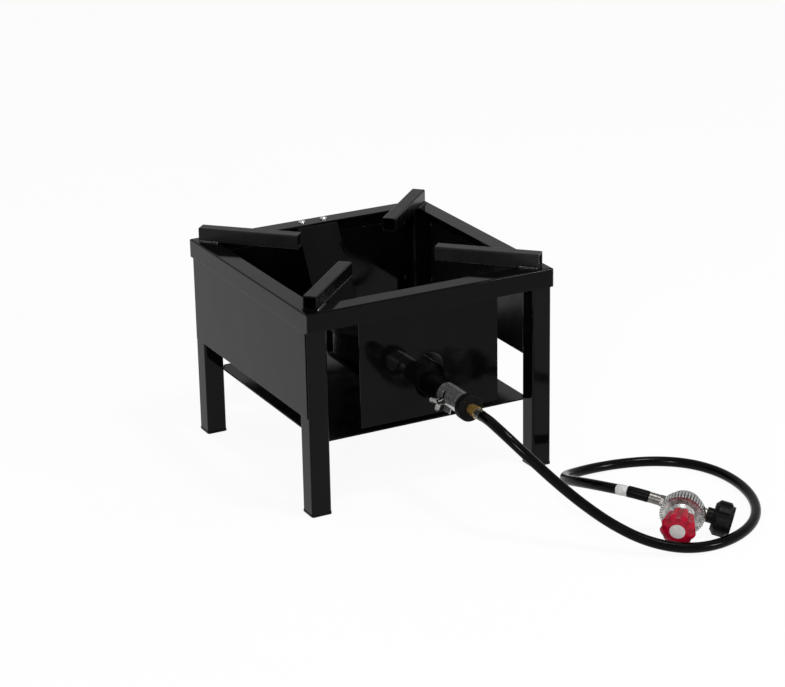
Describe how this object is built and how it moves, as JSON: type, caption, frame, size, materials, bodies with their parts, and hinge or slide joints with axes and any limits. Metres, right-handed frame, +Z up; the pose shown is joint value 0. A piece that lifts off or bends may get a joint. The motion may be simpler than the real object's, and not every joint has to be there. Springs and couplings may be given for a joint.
{
  "type": "propane burner",
  "caption": "Square steel stand with a cast gas burner, pot supports, heat shield and shelf, an adjustable air shutter, a hose and a regulator with a red knob.",
  "frame": {"origin": "centre of the square stand on the floor", "axes": "+X to the right side of the stand, +Y to its back, away from the mixing tube, +Z up"},
  "size_m": [0.5293, 0.6934, 0.2936],
  "materials": {
    "black_paint": "gloss black paint",
    "black_plastic": "moulded black plastic",
    "black_iron": "black painted casting",
    "zinc_steel": "bright zinc plating",
    "zinc_casting": "raw die casting",
    "brass": "turned brass",
    "hose_rubber": "smooth semi-gloss rubber",
    "seal_rubber": "moulded rubber",
    "white_tag": "wrapped paper label",
    "red_plastic": "moulded red plastic",
    "white_label": "plain label disc"
  },
  "bodies": {
    "stand": {"rim_front": "black_paint", "rim_right": "black_paint", "rim_back": "black_paint", "rim_left": "black_paint", "leg_front_left": "black_paint", "leg_front_right": "black_paint", "leg_back_left": "black_paint", "leg_back_right": "black_paint", "pot_support_front_left": "black_paint", "pot_support_front_right": "black_paint", "pot_support_back_left": "black_paint", "pot_support_back_right": "black_paint", "left_panel": "black_paint", "right_panel": "black_paint", "back_panel": "black_paint", "front_heat_shield": "black_paint", "bottom_shelf": "black_paint", "burner_strap": "black_paint", "foot_front_left": "black_plastic", "foot_front_right": "black_plastic", "foot_back_left": "black_plastic", "foot_back_right": "black_plastic", "strap_bolts": "zinc_steel", "strap_nuts": "zinc_steel", "centre_bolt": "zinc_steel", "centre_nut": "zinc_steel", "burner_casting": "black_iron", "burner_head": "black_iron", "orifice_cap": "black_iron", "orifice": "brass", "burner_ferrule": "zinc_steel", "gas_hose": "hose_rubber", "hose_sleeve": "hose_rubber", "hose_tag": "white_tag", "regulator_ferrule": "zinc_steel", "outlet_fitting": "zinc_steel", "regulator_body": "zinc_casting", "regulator_bonnet": "zinc_casting", "crimp_ring": "zinc_casting", "diaphragm": "seal_rubber", "diaphragm_plate": "zinc_steel", "valve_lever": "zinc_steel", "valve_pin": "zinc_steel", "valve_disc": "seal_rubber", "pressure_spring": "zinc_steel", "inlet_nipple": "brass", "nose_seal": "seal_rubber"},
    "shutter": {"air_shutter": "zinc_steel"},
    "wing_screw": {"shutter_wing_screw": "zinc_steel"},
    "flare_nut": {"flare_nut": "brass"},
    "knob": {"regulator_knob": "red_plastic", "knob_label": "white_label", "adjusting_screw": "brass"},
    "spring_seat": {"spring_seat": "brass"},
    "coupling_nut": {"coupling_nut": "black_plastic"}
  },
  "joints": [
    {"name": "shutter_turn", "type": "hinge", "parent": "stand", "child": "shutter", "pos_m": [0, -0.23775, 0.148], "axis": [0, -1, 0], "range_deg": [0, 40]},
    {"name": "wing_screw_turn", "type": "hinge", "parent": "stand", "child": "wing_screw", "pos_m": [-0.0197, -0.228, 0.14453], "axis": [-0.9848, 0, -0.1736], "range_deg": [0, 360]},
    {"name": "flare_nut_turn", "type": "hinge", "parent": "stand", "child": "flare_nut", "pos_m": [0, -0.2865, 0.148], "axis": [0, -1, 0], "continuous": true},
    {"name": "knob_turn", "type": "hinge", "parent": "stand", "child": "knob", "pos_m": [0.17713, -0.47876, 0.02956], "axis": [0.6682, 0.7292, 0.1478], "range_deg": [0, 720]},
    {"name": "spring_seat_slide", "type": "slide", "parent": "stand", "child": "spring_seat", "axis": [0.6682, 0.7292, 0.1478], "range_m": [0, 0.004], "deforming": ["pressure_spring"]},
    {"name": "coupling_nut_turn", "type": "hinge", "parent": "stand", "child": "coupling_nut", "pos_m": [0.2407, -0.48119, 0.02348], "axis": [0.7395, -0.6292, -0.2393], "continuous": true}
  ],
  "couplings": [
    {"joint": "spring_seat_slide", "follows": "knob_turn", "m_per_rad": 0.000318}
  ]
}
